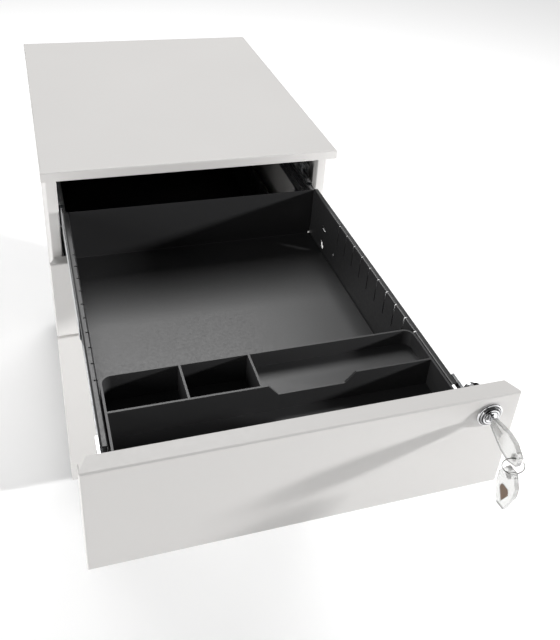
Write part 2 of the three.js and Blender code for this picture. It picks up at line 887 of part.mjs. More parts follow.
// The blade that goes into the lock, with its cuts along the lower edge.
function keyBlade() {
  const tip = -bladeReach - keyInserted;
  const tall = keyBladeWidth / 2;
  const outline = [
    [bladeRoot, -tall],
    [bladeRoot, tall],
    [tip + 2.5, tall],
    [tip, 0.6],
    [tip + 1.5, -1.2],
    [tip + 4, -0.6],
    [tip + 6, -2.2],
    [tip + 8.5, -1],
    [tip + 11, -2.6],
    [tip + 13.5, -1.6],
    [tip + 15, -tall],
  ];
  const half = keyThickness / 2;
  return prism(outline.map(([u, v]) => new THREE.Vector2(u, v)), 'x', -half, half);
}

// A key shape points along +Y when made. This one points out of the lock, along -Y, and sags.
function inLock(shape, face) {
  const outwards = shape.rotate(180, 0, 0).translate(0, -bladeReach - keyPivot, 0);
  return outwards.rotate(keyDroop, 0, 0).translate(lockX, face + keyPivot, lockZ);
}

function keyHole(face) {
  const reach = keyPivot + bladeReach + bowLength - bowHoleInset;
  return { y: face + keyPivot - reach * Math.cos(droop), z: lockZ - reach * Math.sin(droop) };
}

function ringCentre(face) {
  const hole = keyHole(face);
  return { y: hole.y, z: hole.z - ringSit - ringRadius };
}

function keyRing(face) {
  const geometry = new THREE.TorusGeometry(ringRadius, ringWire, 8, 36);
  geometry.rotateX(Math.PI / 2);
  const { y, z } = ringCentre(face);
  return solid(geometry).rotate(0, 0, ringTurn).translate(lockX, y, z);
}

// The spare key hangs straight down from the ring.
function hanging(shape, face) {
  const { y, z } = ringCentre(face);
  const holeZ = z - ringRadius - ringSit;
  const upright = shape.rotate(90, 0, 0).translate(0, 0, bowHoleInset - bowLength);
  return upright.rotate(0, 0, spareTurn).translate(lockX, y, holeZ);
}

// Castors

const castorPlaces = [
  { name: 'front_left', x: -halfWidth + castorInsetX, y: castorInsetY },
  { name: 'front_right', x: halfWidth - castorInsetX, y: castorInsetY },
  { name: 'rear_left', x: -halfWidth + castorInsetX, y: cabinetDepth - castorInsetY },
  { name: 'rear_right', x: halfWidth - castorInsetX, y: cabinetDepth - castorInsetY },
];

function castorHood({ x, y }) {
  const innerR = wheelRadius + hoodClearance;
  const outerR = innerR + hoodThickness;
  const wheelY = y + castorTrail;
  const low = THREE.MathUtils.degToRad(12);
  const high = Math.PI - low;
  const ring = new THREE.Shape();
  ring.absarc(wheelY, wheelRadius, outerR, low, high, false);
  ring.absarc(wheelY, wheelRadius, innerR, high, low, true);
  const width = hoodWeb / 2 + wheelWidth + 0.5;
  const shell = prism(ring, 'x', x - width, x + width);
  const disc = new THREE.Shape();
  disc.absarc(wheelY, wheelRadius, innerR + 0.5, -0.5, Math.PI + 0.5, false);
  const web = prism(disc, 'x', x - hoodWeb / 2 + 0.6, x + hoodWeb / 2 - 0.6);
  const stemBottom = wheelRadius + innerR * 0.72;
  const collar = rod('z', collarRadius, stemBottom, baseTop - sheet - 4, x, y, 0, 20);
  const stem = rod('z', stemRadius, stemBottom, baseTop - sheet + 3, x, y, 0, 16);
  const axleHole = rod('x', axleRadius + gap, x - 10, x + 10, 0, wheelY, wheelRadius, 16);
  const wheelRoom = [-1, 1].map((side) => {
    const inner = hoodWeb / 2 - 0.6;
    const span = side > 0 ? [x + inner, x + 40] : [x - 40, x - inner];
    return rod('x', innerR, ...span, 0, wheelY, wheelRadius, 32);
  });
  const post = cut(joined(collar, stem), ...wheelRoom);
  return cut(joined(shell, web, post), axleHole);
}

function castorWheels({ x, y }) {
  const wheelY = y + castorTrail;
  const inner = hoodWeb / 2;
  const chamfer = 2;
  const profile = (from, to) => {
    const low = Math.min(from, to);
    const high = Math.max(from, to);
    const points = [
      [0, low],
      [wheelRadius - chamfer, low],
      [wheelRadius, low + chamfer],
      [wheelRadius, high - chamfer],
      [wheelRadius - chamfer, high],
      [0, high],
    ];
    const geometry = new THREE.LatheGeometry(points.map(([r, a]) => new THREE.Vector2(r, a)), 32);
    geometry.rotateZ(-Math.PI / 2);
    geometry.translate(x, wheelY, wheelRadius);
    return solid(geometry);
  };
  const right = profile(inner, inner + wheelWidth);
  const left = profile(-inner - wheelWidth, -inner);
  const axle = rod('x', axleRadius, x - inner - 1, x + inner + 1, 0, wheelY, wheelRadius, 16);
  return joined(right, left, axle);
}

// Assembly

add('side_panel_left', sidePanel(-1), white);
add('side_panel_right', sidePanel(1), white);
add('top_panel', topPanel(), white);
add('back_panel', backPanel(), white);
add('base_panel', basePanel(), white);
add('front_top_rail', frontTopRail(), white);
add('front_post_left', slidePost(-1, frontPostY), zinc);
add('front_post_right', guidedPost(), zinc);
add('rear_post_left', slidePost(-1, rearPostY), zinc);
add('rear_post_right', slidePost(1, rearPostY), zinc);
add('lock_bar', lockBar(), zinc);

drawers.forEach((drawer) => {
  addSlide(drawer, -1);
  addSlide(drawer, 1);
  const isTop = drawer.name === 'top';
  const lockHole = rod('y', barrelRadius + gap, drawer.open - 2, drawer.open + 4, lockX, 0, lockZ, 32);
  const front = frontPan(drawer);
  add(`${drawer.name}_drawer_front`, isTop ? front.subtract(lockHole) : front, white);
  add(`${drawer.name}_drawer_body`, boxSheet(drawer), black);
  [-1, 1].forEach((side) => {
    const wall = boxSide(drawer, side);
    const word = side > 0 ? 'right' : 'left';
    add(`${drawer.name}_drawer_side_${word}`, isTop ? withTrayLedges(wall, drawer, side) : wall, black);
  });
});

add('pen_tray', penTray(), trayPlastic);
add('lock_housing', lockHousing(drawerOpen), chrome);
add('lock_plug', lockPlug(drawerOpen), chrome);
add('lock_cam', lockCam(drawerOpen), zinc);
add('key_blade', inLock(keyBlade(), drawerOpen), chrome);
add('key_head', inLock(keyBow(), drawerOpen), clearPlastic);
add('key_ring', keyRing(drawerOpen), chrome);
add('spare_key_insert', hanging(spareInsert(), drawerOpen), bronze);
add('spare_key_head', hanging(spareBow(), drawerOpen), clearPlastic);

castorPlaces.forEach((place) => {
  add(`castor_hood_${place.name}`, castorHood(place), darkPlastic);
  add(`castor_wheels_${place.name}`, castorWheels(place), darkPlastic);
});

// The origin is on the floor under the middle of the whole object as it stands.
const spareAngle = THREE.MathUtils.degToRad(spareTurn);
const spareReach = (bowWidth * Math.cos(spareAngle) + bowThickness * Math.sin(spareAngle)) / 2;
const foremost = keyHole(drawerOpen).y - spareReach;
cabinet.position.set(0, -(foremost + cabinetDepth) / 2, 0);
cabinet.updateMatrixWorld(true);

export default cabinet;
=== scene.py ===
import json
import math
import bmesh
import bpy
from mathutils import Matrix, Vector


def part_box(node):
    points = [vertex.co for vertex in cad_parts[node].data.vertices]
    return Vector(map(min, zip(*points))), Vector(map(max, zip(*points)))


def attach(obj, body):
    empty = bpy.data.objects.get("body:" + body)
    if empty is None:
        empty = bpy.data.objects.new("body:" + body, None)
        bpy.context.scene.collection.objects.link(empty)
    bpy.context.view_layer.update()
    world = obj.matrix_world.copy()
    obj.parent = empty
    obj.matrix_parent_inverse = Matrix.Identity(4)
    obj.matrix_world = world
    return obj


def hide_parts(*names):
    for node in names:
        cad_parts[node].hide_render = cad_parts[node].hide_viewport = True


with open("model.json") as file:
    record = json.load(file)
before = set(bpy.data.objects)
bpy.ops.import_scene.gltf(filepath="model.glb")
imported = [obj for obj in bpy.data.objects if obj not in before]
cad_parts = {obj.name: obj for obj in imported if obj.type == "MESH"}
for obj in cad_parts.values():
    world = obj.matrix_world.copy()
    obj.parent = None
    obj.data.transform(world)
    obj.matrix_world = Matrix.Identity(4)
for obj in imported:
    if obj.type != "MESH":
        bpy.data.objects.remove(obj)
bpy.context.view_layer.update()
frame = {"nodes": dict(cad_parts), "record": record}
bodyOf = {n: b for b, members in frame["record"]["behaviour"]["bodies"].items() for n in members}
slotOf = {s["node"]: s["material_slot"] for s in frame["record"]["subparts"]}
drawerNames = ("top", "middle", "bottom")
sideNames = ("left", "right")
print("frame loaded:", len(frame["nodes"]), "nodes")


# finishes: every one is procedural and reads Object coordinates, in metres

def newFinish(name):
    material = bpy.data.materials.new(name)
    material.use_nodes = True
    tree = material.node_tree
    return material, tree, tree.nodes["Principled BSDF"]


def patternAt(tree, stretch=(1, 1, 1), offset=(0, 0, 0)):
    where = tree.nodes.new("ShaderNodeTexCoord")
    mapping = tree.nodes.new("ShaderNodeMapping")
    mapping.inputs["Scale"].default_value = stretch
    mapping.inputs["Location"].default_value = offset
    tree.links.new(where.outputs["Object"], mapping.inputs["Vector"])
    return mapping.outputs["Vector"]


def noise(tree, scale, detail=2.0, roughness=0.5, stretch=(1, 1, 1), offset=(0, 0, 0)):
    node = tree.nodes.new("ShaderNodeTexNoise")
    node.inputs["Scale"].default_value = scale
    node.inputs["Detail"].default_value = detail
    node.inputs["Roughness"].default_value = roughness
    tree.links.new(patternAt(tree, stretch, offset), node.inputs["Vector"])
    return node.outputs["Fac"]


def spread(tree, value, low, high, fromLow=0.3, fromHigh=0.7):
    node = tree.nodes.new("ShaderNodeMapRange")
    node.inputs["From Min"].default_value = fromLow
    node.inputs["From Max"].default_value = fromHigh
    node.inputs["To Min"].default_value = low
    node.inputs["To Max"].default_value = high
    tree.links.new(value, node.inputs["Value"])
    return node.outputs["Result"]


def shades(tree, value, dark, light):
    node = tree.nodes.new("ShaderNodeMix")
    node.data_type = "RGBA"
    node.inputs["A"].default_value = (*dark, 1)
    node.inputs["B"].default_value = (*light, 1)
    tree.links.new(value, node.inputs["Factor"])
    return node.outputs["Result"]


def relief(tree, bsdf, heights):
    # heights: pairs of a height value and its depth in metres, laid over each other
    below = None
    for value, depth in heights:
        node = tree.nodes.new("ShaderNodeBump")
        node.inputs["Distance"].default_value = depth
        node.inputs["Strength"].default_value = 1.0
        tree.links.new(value, node.inputs["Height"])
        if below is not None:
            tree.links.new(below, node.inputs["Normal"])
        below = node.outputs["Normal"]
    tree.links.new(below, bsdf.inputs["Normal"])


def tinted(colour, factor):
    return tuple(min(1.0, c * factor) for c in colour)


def powderCoat(name, look):
    material, tree, bsdf = newFinish(name)
    cloud = noise(tree, look["cloudScale"], 3)
    tree.links.new(shades(tree, spread(tree, cloud, 0, 1), tinted(look["colour"], 1 - look["cloud"]),
                          tinted(look["colour"], 1 + look["cloud"])), bsdf.inputs["Base Color"])
    grain = noise(tree, look["peelScale"] * 0.35, 2)
    tree.links.new(spread(tree, grain, look["rough"] - look["roughVary"], look["rough"] + look["roughVary"]),
                   bsdf.inputs["Roughness"])
    peel = noise(tree, look["peelScale"], 1.5)
    wave = noise(tree, look["waveScale"], 1)
    relief(tree, bsdf, [(wave, look["wave"]), (peel, look["peel"])])
    bsdf.inputs["Specular IOR Level"].default_value = look["specular"]
    return material


def zincPlate(name, look):
    material, tree, bsdf = newFinish(name)
    cells = tree.nodes.new("ShaderNodeTexVoronoi")
    cells.inputs["Scale"].default_value = look["spangleScale"]
    tree.links.new(patternAt(tree), cells.inputs["Vector"])
    split = tree.nodes.new("ShaderNodeSeparateColor")
    tree.links.new(cells.outputs["Color"], split.inputs["Color"])
    dark, light = (tinted(look["colour"], shade) for shade in look["shades"])
    tree.links.new(shades(tree, split.outputs["Red"], dark, light), bsdf.inputs["Base Color"])
    brushed = noise(tree, 1.0, 3, stretch=look["brushStretch"])
    tree.links.new(spread(tree, brushed, *look["rough"]), bsdf.inputs["Roughness"])
    relief(tree, bsdf, [(brushed, look["brush"]), (noise(tree, look["waveScale"], 1), look["wave"])])
    bsdf.inputs["Metallic"].default_value = 1.0
    return material


platingLooks = {"cloudScale": 120, "shades": (0.93, 1.05), "scuffStretch": (2600, 240, 1400)}


def scuffed(tree, bsdf, look):
    # fine scuffs on bare or plated metal
    scuff = noise(tree, 1.0, 2, stretch=platingLooks["scuffStretch"])
    rough = spread(tree, scuff, look["rough"], look["rough"] + look["roughVary"])
    tree.links.new(rough, bsdf.inputs["Roughness"])
    relief(tree, bsdf, [(scuff, look["scuff"])])
    bsdf.inputs["Metallic"].default_value = 1.0


def platedMetal(name, look):
    material, tree, bsdf = newFinish(name)
    cloud = noise(tree, platingLooks["cloudScale"], 2)
    dark, light = (tinted(look["colour"], shade) for shade in platingLooks["shades"])
    tree.links.new(shades(tree, cloud, dark, light), bsdf.inputs["Base Color"])
    scuffed(tree, bsdf, look)
    return material


def metalWithPaintedRingShade(name, look, centre, bands):
    # plated metal with painted shade: its colour is darkened in rings about a lock's axis, standing for the
    # shade and dark reflections in the lock's grooves
    material, tree, bsdf = newFinish(name)
    places = patternAt(tree, stretch=(1, 0, 1), offset=(-centre.x, 0, -centre.z))
    away = tree.nodes.new("ShaderNodeVectorMath")
    away.operation = "LENGTH"
    tree.links.new(places, away.inputs[0])
    ramp = tree.nodes.new("ShaderNodeValToRGB")
    reach = tree.nodes.new("ShaderNodeMapRange")
    reach.inputs["From Max"].default_value = look["reach"]
    tree.links.new(away.outputs["Value"], reach.inputs["Value"])
    tree.links.new(reach.outputs["Result"], ramp.inputs["Fac"])
    stops = ramp.color_ramp.elements
    while len(stops) < len(bands):
        stops.new(1.0)
    # the dark stops paint shade and dark reflection into the grooves as colour
    for stop, (radius, shade) in zip(stops, bands):
        stop.position = radius / look["reach"] / 1000
        stop.color = (*tinted(look["colour"], shade), 1)
    tree.links.new(ramp.outputs["Color"], bsdf.inputs["Base Color"])
    scuffed(tree, bsdf, look)
    return material


mouldingLooks = {"cloudScale": 14, "shades": (0.88, 1.12), "smoother": 0.05, "rougher": 0.07}


def mouldedPlastic(name, look):
    material, tree, bsdf = newFinish(name)
    cloud = noise(tree, mouldingLooks["cloudScale"], 3)
    dark, light = (tinted(look["colour"], shade) for shade in mouldingLooks["shades"])
    tree.links.new(shades(tree, cloud, dark, light), bsdf.inputs["Base Color"])
    grain = noise(tree, look["grainScale"], 2, 0.6)
    low, high = look["rough"] - mouldingLooks["smoother"], look["rough"] + mouldingLooks["rougher"]
    tree.links.new(spread(tree, grain, low, high), bsdf.inputs["Roughness"])
    relief(tree, bsdf, [(grain, look["grain"])])
    bsdf.inputs["Specular IOR Level"].default_value = look["specular"]
    return material


def clearPlastic(name, look):
    material, tree, bsdf = newFinish(name)
    cloud = noise(tree, look["cloudScale"], 2)
    dark = tinted(look["colour"], look["darkShade"])
    tree.links.new(shades(tree, cloud, dark, look["colour"]), bsdf.inputs["Base Color"])
    smear = noise(tree, look["smearScale"], 2)
    rough = spread(tree, smear, look["rough"], look["rough"] + look["roughVary"])
    tree.links.new(rough, bsdf.inputs["Roughness"])
    relief(tree, bsdf, [(noise(tree, look["flowScale"], 1), look["flow"])])
    bsdf.inputs["Transmission Weight"].default_value = look["clear"]
    bsdf.inputs["IOR"].default_value = look["ior"]
    return material


finishes = {
    "white_coat": powderCoat("whitePowderCoat", {
        "colour": (0.655, 0.642, 0.628), "cloud": 0.012, "cloudScale": 5, "rough": 0.5, "roughVary": 0.05,
        "peelScale": 620, "peel": 0.000012, "waveScale": 70, "wave": 0.00004,
        "specular": 0.5}),
    "black_coat": powderCoat("blackSemiGlossCoat", {
        "colour": (0.027, 0.027, 0.0278), "cloud": 0.08, "cloudScale": 7, "rough": 0.36, "roughVary": 0.05,
        "peelScale": 820, "peel": 0.00001, "waveScale": 55, "wave": 0.00003,
        "specular": 0.5}),
    "zinc_plated": zincPlate("zincPlate", {
        "colour": (0.56, 0.57, 0.58), "shades": (0.86, 1.08), "spangleScale": 140, "rough": (0.23, 0.4),
        "brushStretch": (900, 9, 900), "brush": 0.000006, "waveScale": 45, "wave": 0.00006}),
    "chrome": platedMetal("lockChrome", {"colour": (0.62, 0.62, 0.63), "rough": 0.07, "roughVary": 0.08,
                                         "scuff": 0.000002}),
    "bronze": platedMetal("darkBronze", {"colour": (0.20, 0.145, 0.11), "rough": 0.3, "roughVary": 0.15,
                                         "scuff": 0.000004}),
    "tray_plastic": mouldedPlastic("trayPlastic", {"colour": (0.034, 0.034, 0.035), "rough": 0.38,
                                                   "grainScale": 1500, "grain": 0.00002, "specular": 0.45}),
    "castor_plastic": mouldedPlastic("castorNylon", {"colour": (0.03, 0.031, 0.033), "rough": 0.45,
                                                     "grainScale": 1100, "grain": 0.00002, "specular": 0.5}),
    "clear_plastic": clearPlastic("clearKeyPlastic", {
        "colour": (0.80, 0.80, 0.79), "cloudScale": 90, "darkShade": 0.97, "smearScale": 500, "rough": 0.08,
        "roughVary": 0.06, "flowScale": 160, "flow": 0.00008, "clear": 0.72, "ior": 1.47}),
}
treadFinish = mouldedPlastic("softTread", {"colour": (0.055, 0.056, 0.058), "rough": 0.62,
                                           "grainScale": 900, "grain": 0.00003, "specular": 0.3})
ringSteel = platedMetal("ringSteel", {"colour": (0.16, 0.155, 0.15), "rough": 0.16, "roughVary": 0.1,
                                      "scuff": 0.000002})
print("finishes made:", len(finishes) + 2)


# making and handing over pieces

def sceneObject(name, mesh):
    piece = bpy.data.objects.new(name, mesh)
    bpy.context.scene.collection.objects.link(piece)
    return piece


def smoothBy(mesh, degrees):
    mesh.shade_smooth()
    mesh.set_sharp_from_angle(angle=math.radians(degrees))


def flattened(piece):
    # replaces the piece's mesh with the result of its modifiers
    depsgraph = bpy.context.evaluated_depsgraph_get()
    mesh = bpy.data.meshes.new_from_object(piece.evaluated_get(depsgraph), preserve_all_data_layers=True,
                                           depsgraph=depsgraph)
    piece.modifiers.clear()
    old = piece.data
    piece.data = mesh
    bpy.data.meshes.remove(old)
    return piece


def softened(piece, width, segments=2, angle=40):
    bevel = piece.modifiers.new("edges", "BEVEL")
    bevel.width = width
    bevel.segments = segments
    bevel.limit_method = "ANGLE"
    bevel.angle_limit = math.radians(angle)
    bevel.harden_normals = True
    bevel.use_clamp_overlap = True
    even = piece.modifiers.new("normals", "WEIGHTED_NORMAL")
    even.keep_sharp = True
    return flattened(piece)


def given(piece, finish, body, slot, *replaced):
    piece.data.materials.clear()
    piece.data.materials.append(finish)
    for face in piece.data.polygons:
        face.material_index = 0
    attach(piece, body)
    if replaced:
        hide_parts(*replaced)
    return piece


edgeLooks = {
    "width": 0.00028,      # rounding of cut sheet edges
    "trayWidth": 0.0007,   # rounding of moulded edges
    "segments": 2,
    "smoothAngle": 38,
    "merge": 2e-6,
    "flat": 0.6,           # degrees between faces that count as one flat
}


def fromCad(node, name, width=edgeLooks["width"], segments=edgeLooks["segments"]):
    # a copy of a node's solid with its flats merged, its folds smoothed and its cut edges rounded
    shape = bmesh.new()
    shape.from_mesh(frame["nodes"][node].data)
    bmesh.ops.remove_doubles(shape, verts=shape.verts, dist=edgeLooks["merge"])
    bmesh.ops.dissolve_limit(shape, angle_limit=math.radians(edgeLooks["flat"]), verts=shape.verts,
                             edges=shape.edges, use_dissolve_boundaries=False)
    mesh = bpy.data.meshes.new(name)
    shape.to_mesh(mesh)
    shape.free()
    smoothBy(mesh, edgeLooks["smoothAngle"])
    piece = softened(sceneObject(name, mesh), width, segments)
    slot = slotOf[node]
    return given(piece, finishes[slot], bodyOf[node], slot, node)


def middleOf(node):
    low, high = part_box(node)
    return (low + high) / 2


# cabinet shell, drawers, slides, posts and lock bar

handMade = {"lock_housing", "key_ring", "key_head", "spare_key_head"}
handMade |= {n for n in frame["nodes"] if n.startswith("castor_wheels")}
for node in sorted(frame["nodes"]):
    if node in handMade:
        continue
    words = node.split("_")
    pieceName = words[0] + "".join(w.capitalize() for w in words[1:])
    if node == "pen_tray":
        fromCad(node, pieceName, edgeLooks["trayWidth"], 3)
    else:
        fromCad(node, pieceName)
print("sheet metal pieces made")


# turned pieces

def turnedMesh(name, profile, axisPoint, axis, steps=64, closed=False):
    # profile: (radius, distance along the axis); revolved round axis through axisPoint
    shape = bmesh.new()
    axis = Vector(axis).normalized()
    side = axis.orthogonal().normalized()
    points = [shape.verts.new(Vector(axisPoint) + side * r + axis * a) for r, a in profile]
    for a, b in zip(points, points[1:]):
        shape.edges.new((a, b))
    if closed:
        shape.edges.new((points[-1], points[0]))
    bmesh.ops.spin(shape, geom=shape.verts[:] + shape.edges[:], cent=axisPoint, axis=axis,
                   angle=2 * math.pi, steps=steps, use_merge=True, use_duplicate=False)
    bmesh.ops.remove_doubles(shape, verts=shape.verts, dist=1e-6)
    bmesh.ops.recalc_face_normals(shape, faces=shape.faces)
    mesh = bpy.data.meshes.new(name)
    shape.to_mesh(mesh)
    shape.free()
    return mesh


lockLooks = {
    # radius and depth in millimetres, from the bore outwards and back again
    "ring": [(6.6, -4.2), (6.9, -4.6), (8.3, -4.6), (8.7, -4.3), (8.9, -3.7), (9.9, -3.5), (10.3, -3.2),
             (10.5, -2.5), (11.9, -2.3), (12.6, -2.0), (13.0, -1.4), (13.0, -0.5), (12.8, -0.3), (9.5, -0.3),
             (9.5, 32.0), (6.6, 32.0)],
    "metal": {"colour": (0.66, 0.66, 0.67), "rough": 0.08, "roughVary": 0.08, "scuff": 0.000002,
              "reach": 0.014},
    "standsOut": 0.0046,   # from the front's face to the front of the ring
    # radius in millimetres and how bright the colour is there; the dark bands are painted shade and painted
    # dark reflection in the grooves
    "bands": [(6.4, 0.12), (6.8, 0.14), (7.2, 0.9), (8.2, 0.95), (8.6, 0.10), (9.7, 0.08), (10.0, 0.8),
              (10.4, 0.7), (10.6, 0.09), (11.4, 0.12), (11.8, 0.95), (13.0, 1.0)],
    "nutAcross": 25, "nutFront": 2.2, "nutBack": 5.6, "nutBore": 9.55,
}


def lockHousing():
    low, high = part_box("lock_housing")
    centre = (low + high) / 2
    face = low.y + lockLooks["standsOut"]
    profile = [(r / 1000, a / 1000) for r, a in lockLooks["ring"]]
    mesh = turnedMesh("lockHousing", profile, (centre.x, face, centre.z), (0, 1, 0), 72, closed=True)
    smoothBy(mesh, 32)
    # the lock's rings get painted shade: dark colour bands stand for the shade and dark reflections in its
    # grooves
    paintedShadeChrome = metalWithPaintedRingShade("groovedChrome", lockLooks["metal"], centre, lockLooks["bands"])
    given(sceneObject("lockHousing", mesh), paintedShadeChrome, "top_drawer", "chrome", "lock_housing")
    nut = bmesh.new()
    bore = lockLooks["nutBore"] / 1000
    rim = lockLooks["nutAcross"] / 1000 / math.sqrt(3)
    rings = []
    for depth in (lockLooks["nutFront"] / 1000, lockLooks["nutBack"] / 1000):
        outer, inner = [], []
        for k in range(36):
            a = 2 * math.pi * k / 36
            hexed = rim * math.cos(math.pi / 6) / math.cos((a % (math.pi / 3)) - math.pi / 6)
            y = face + depth
            outer.append(nut.verts.new((centre.x + hexed * math.cos(a), y, centre.z + hexed * math.sin(a))))
            inner.append(nut.verts.new((centre.x + bore * math.cos(a), y, centre.z + bore * math.sin(a))))
        rings.append((outer, inner))
    (outerA, innerA), (outerB, innerB) = rings
    for k in range(36):
        n = (k + 1) % 36
        nut.faces.new((outerA[k], outerA[n], innerA[n], innerA[k]))
        nut.faces.new((outerB[k], innerB[k], innerB[n], outerB[n]))
        nut.faces.new((outerA[k], outerB[k], outerB[n], outerA[n]))
        nut.faces.new((innerA[k], innerA[n], innerB[n], innerB[k]))
    bmesh.ops.recalc_face_normals(nut, faces=nut.faces)
    nutMesh = bpy.data.meshes.new("lockNut")
    nut.to_mesh(nutMesh)
    nut.free()
    smoothBy(nutMesh, 25)
    nutPiece = softened(sceneObject("lockNut", nutMesh), 0.0003)
    given(nutPiece, finishes["zinc_plated"], "top_drawer", "zinc_plated")


lockHousing()


keyLooks = {
    "edge": 0.0006, "ringWire": 0.37, "ringTurns": 2, "ringStart": 0.6,
    "ringShift": 0.00038,  # of each turn to its side of the middle
    "solidWire": 0.00075,  # wire radius of the solid ring
}


def keyRing():
    # a split ring: two turns of one wire, lying side by side
    low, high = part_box("key_ring")
    centre = (low + high) / 2
    solid = keyLooks["solidWire"]
    radius = (high.z - low.z) / 2 - solid
    turn = math.atan2(-(high.y - low.y - 2 * solid), high.x - low.x - 2 * solid)
    along = Vector((math.cos(turn), math.sin(turn), 0))
    side = Vector((-math.sin(turn), math.cos(turn), 0))
    wire = keyLooks["ringWire"] / 1000
    steps, around = 48 * keyLooks["ringTurns"], 8
    shape = bmesh.new()
    rows = []
    for k in range(steps + 1):
        share = k / steps
        a = 2 * math.pi * keyLooks["ringTurns"] * share + keyLooks["ringStart"]
        shift = (share - 0.5) * 2 * keyLooks["ringShift"]
        outwards = along * math.cos(a) + Vector((0, 0, math.sin(a)))
        spot = centre + outwards * radius + side * shift
        rows.append([shape.verts.new(spot + (outwards * math.cos(t) + side * math.sin(t)) * wire)
                     for t in [2 * math.pi * j / around for j in range(around)]])
    for first, second in zip(rows, rows[1:]):
        for j in range(around):
            n = (j + 1) % around
            shape.faces.new((first[j], first[n], second[n], second[j]))
    shape.faces.new(rows[0][::-1])
    shape.faces.new(rows[-1])
    bmesh.ops.recalc_face_normals(shape, faces=shape.faces)
    mesh = bpy.data.meshes.new("keyRing")
    shape.to_mesh(mesh)
    shape.free()
    smoothBy(mesh, 50)
    given(sceneObject("keyRing", mesh), ringSteel, "key_ring", "chrome", "key_ring")


keyRing()
for node, name in (("key_head", "keyHead"), ("spare_key_head", "spareKeyHead")):
    fromCad(node, name, keyLooks["edge"], 3)


castorLooks = {
    # radius and distance outwards from the castor's middle plane, in millimetres
    "tread": [(17.5, 2.6), (21.6, 2.6), (22.2, 2.9), (22.5, 3.8), (22.5, 17.2), (22.2, 18.1), (21.6, 18.4),
              (17.5, 18.4)],
    "hub": [(0.0, 2.7), (17.4, 2.7), (17.4, 17.9), (16.8, 18.3), (15.6, 18.3), (14.9, 17.3), (9.0, 17.0),
            (8.2, 17.5), (7.2, 18.2), (0.0, 18.45)],
}


def castorWheels(node):
    low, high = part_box(node)
    centre = (low + high) / 2
    place = node.replace("castor_wheels_", "").title().replace("_", "")
    for part, finish, slot in (("tread", treadFinish, "castor_plastic"),
                               ("hub", finishes["castor_plastic"], "castor_plastic")):
        shapes = []
        for side in (-1, 1):
            profile = [(r / 1000, a / 1000) for r, a in castorLooks[part]]
            shapes.append(turnedMesh("wheel", profile, centre, (side, 0, 0), 56, closed=(part == "tread")))
        joined = bmesh.new()
        for mesh in shapes:
            joined.from_mesh(mesh)
            bpy.data.meshes.remove(mesh)
        mesh = bpy.data.meshes.new(part + "s" + place)
        joined.to_mesh(mesh)
        joined.free()
        smoothBy(mesh, 35)
        piece = sceneObject("castor" + part.capitalize() + "s" + place, mesh)
        given(piece, finish, bodyOf[node], slot, *([node] if part == "hub" else []))


for node in sorted(handMade):
    if node.startswith("castor_wheels"):
        castorWheels(node)
print("lock, keys and castors made")


# repeated pieces, made with Geometry Nodes

def nodeTree(name, sockets):
    tree = bpy.data.node_groups.new(name, "GeometryNodeTree")
    tree.interface.new_socket("Geometry", in_out="INPUT", socket_type="NodeSocketGeometry")
    ids = {}
    for label, kind in sockets:
        ids[label] = tree.interface.new_socket(label, in_out="INPUT", socket_type=kind).identifier
    tree.interface.new_socket("Geometry", in_out="OUTPUT", socket_type="NodeSocketGeometry")
    entry = tree.nodes.new("NodeGroupInput")
    leave = tree.nodes.new("NodeGroupOutput")
    return tree, ids, entry, leave


def ballTree():
    # each vertex of the base mesh starts a row of balls
    tree, ids, entry, leave = nodeTree("ballRows", [
        ("Count", "NodeSocketInt"), ("Step", "NodeSocketVector"), ("Radius", "NodeSocketFloat"),
        ("Finish", "NodeSocketMaterial")])
    line = tree.nodes.new("GeometryNodeMeshLine")
    line.mode = "OFFSET"
    rows = tree.nodes.new("GeometryNodeInstanceOnPoints")
    spots = tree.nodes.new("GeometryNodeRealizeInstances")
    ball = tree.nodes.new("GeometryNodeMeshIcoSphere")
    ball.inputs["Subdivisions"].default_value = 2
    balls = tree.nodes.new("GeometryNodeInstanceOnPoints")
    smooth = tree.nodes.new("GeometryNodeSetShadeSmooth")
    solid = tree.nodes.new("GeometryNodeRealizeInstances")
    paint = tree.nodes.new("GeometryNodeSetMaterial")
    join = tree.links.new
    join(entry.outputs["Count"], line.inputs["Count"])
    join(entry.outputs["Step"], line.inputs["Offset"])
    join(entry.outputs["Geometry"], rows.inputs["Points"])
    join(line.outputs["Mesh"], rows.inputs["Instance"])
    join(rows.outputs["Instances"], spots.inputs["Geometry"])
    join(spots.outputs["Geometry"], balls.inputs["Points"])
    join(entry.outputs["Radius"], ball.inputs["Radius"])
    join(ball.outputs["Mesh"], smooth.inputs["Geometry"])
    join(smooth.outputs["Geometry"], balls.inputs["Instance"])
    join(balls.outputs["Instances"], solid.inputs["Geometry"])
    join(solid.outputs["Geometry"], paint.inputs["Geometry"])
    join(entry.outputs["Finish"], paint.inputs["Material"])
    join(paint.outputs["Geometry"], leave.inputs["Geometry"])
    return tree, ids


